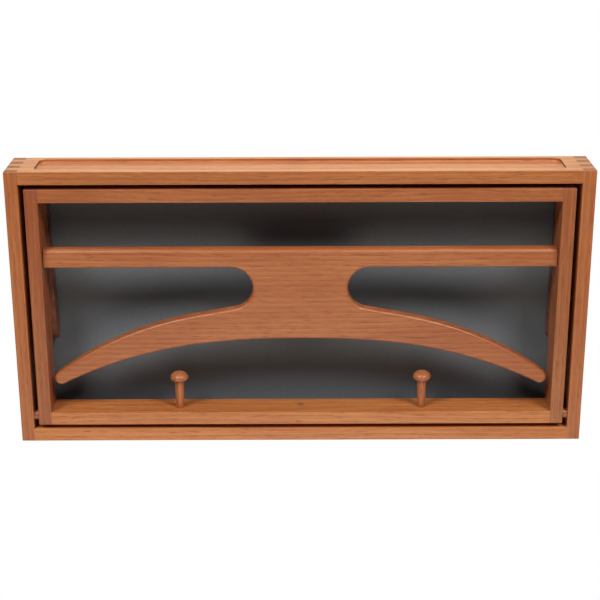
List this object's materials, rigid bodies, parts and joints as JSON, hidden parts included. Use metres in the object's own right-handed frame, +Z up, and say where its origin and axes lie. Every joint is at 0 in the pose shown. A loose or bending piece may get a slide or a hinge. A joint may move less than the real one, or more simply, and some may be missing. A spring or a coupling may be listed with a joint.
{
  "type": "wall-mounted clothes valet",
  "caption": "Shallow oak wall case with a tray on top and a frame that folds down on straps, holding a swinging clothes hanger and turned pegs.",
  "frame": {"origin": "middle of the face that lies on the wall", "axes": "+X to the right along the width, +Y out of the back towards the wall, +Z up; the front faces -Y"},
  "size_m": [0.52, 0.053, 0.2582],
  "materials": {
    "oak": "oiled, satin",
    "end_grain_oak": "oiled, satin",
    "laminate": "pressed laminate, matt",
    "leather": "vegetable-tanned, waxed",
    "felt": "pressed wool felt",
    "brass": "turned, lacquered"
  },
  "bodies": {
    "case": {"case_top": "oak", "case_bottom": "oak", "case_side_left": "oak", "case_side_right": "oak", "back_panel": "laminate", "hanging_rail": "oak", "bumper_left": "felt", "bumper_right": "felt", "frame_pivot_left": "oak", "frame_pivot_right": "oak", "strap_case_screw_left": "brass", "strap_case_screw_right": "brass"},
    "fold_frame": {"frame_top_rail": "oak", "frame_bottom_rail": "oak", "frame_stile_left": "oak", "frame_stile_right": "oak", "peg_left": "oak", "peg_right": "oak", "rail_plug": "end_grain_oak", "hanger_pivot_left": "oak", "hanger_pivot_right": "oak", "strap_tab_left": "leather", "strap_tab_right": "leather", "strap_washer_left": "brass", "strap_washer_right": "brass", "strap_screw_left": "brass", "strap_screw_right": "brass"},
    "hanger": {"hanger": "oak"},
    "strap_upper_left": {"strap_upper_left": "leather"},
    "strap_lower_left": {"strap_lower_left": "leather"},
    "strap_upper_right": {"strap_upper_right": "leather"},
    "strap_lower_right": {"strap_lower_right": "leather"}
  },
  "joints": [
    {"name": "frame_fold", "type": "hinge", "parent": "case", "child": "fold_frame", "pos_m": [0, -0.046, -0.105], "axis": [1, 0, 0], "range_deg": [0, 75], "deforming": ["strap_upper_left", "strap_lower_left", "strap_upper_right", "strap_lower_right"]},
    {"name": "hanger_swing", "type": "hinge", "parent": "fold_frame", "child": "hanger", "pos_m": [0, -0.041, 0.04695], "axis": [-1, 0, 0], "range_deg": [-10, 90]},
    {"name": "strap_anchor_left", "type": "hinge", "parent": "case", "child": "strap_upper_left", "pos_m": [-0.2369, -0.00865, 0.0918], "axis": [1, 0, 0], "range_deg": [-62, 0]},
    {"name": "strap_fold_left", "type": "hinge", "parent": "strap_upper_left", "child": "strap_lower_left", "pos_m": [-0.2369, -0.01405, -0.03371], "axis": [1, 0, 0], "range_deg": [0, 180]},
    {"name": "strap_anchor_right", "type": "hinge", "parent": "case", "child": "strap_upper_right", "pos_m": [0.2369, -0.00865, 0.0918], "axis": [1, 0, 0], "range_deg": [-62, 0]},
    {"name": "strap_fold_right", "type": "hinge", "parent": "strap_upper_right", "child": "strap_lower_right", "pos_m": [0.2369, -0.01405, -0.03371], "axis": [1, 0, 0], "range_deg": [0, 180]}
  ],
  "couplings": [
    {"joint": "strap_anchor_left", "follows": "frame_fold", "ratio": -0.82024},
    {"joint": "strap_fold_left", "follows": "frame_fold", "ratio": 2.4},
    {"joint": "strap_anchor_right", "follows": "frame_fold", "ratio": -0.82024},
    {"joint": "strap_fold_right", "follows": "frame_fold", "ratio": 2.4}
  ]
}
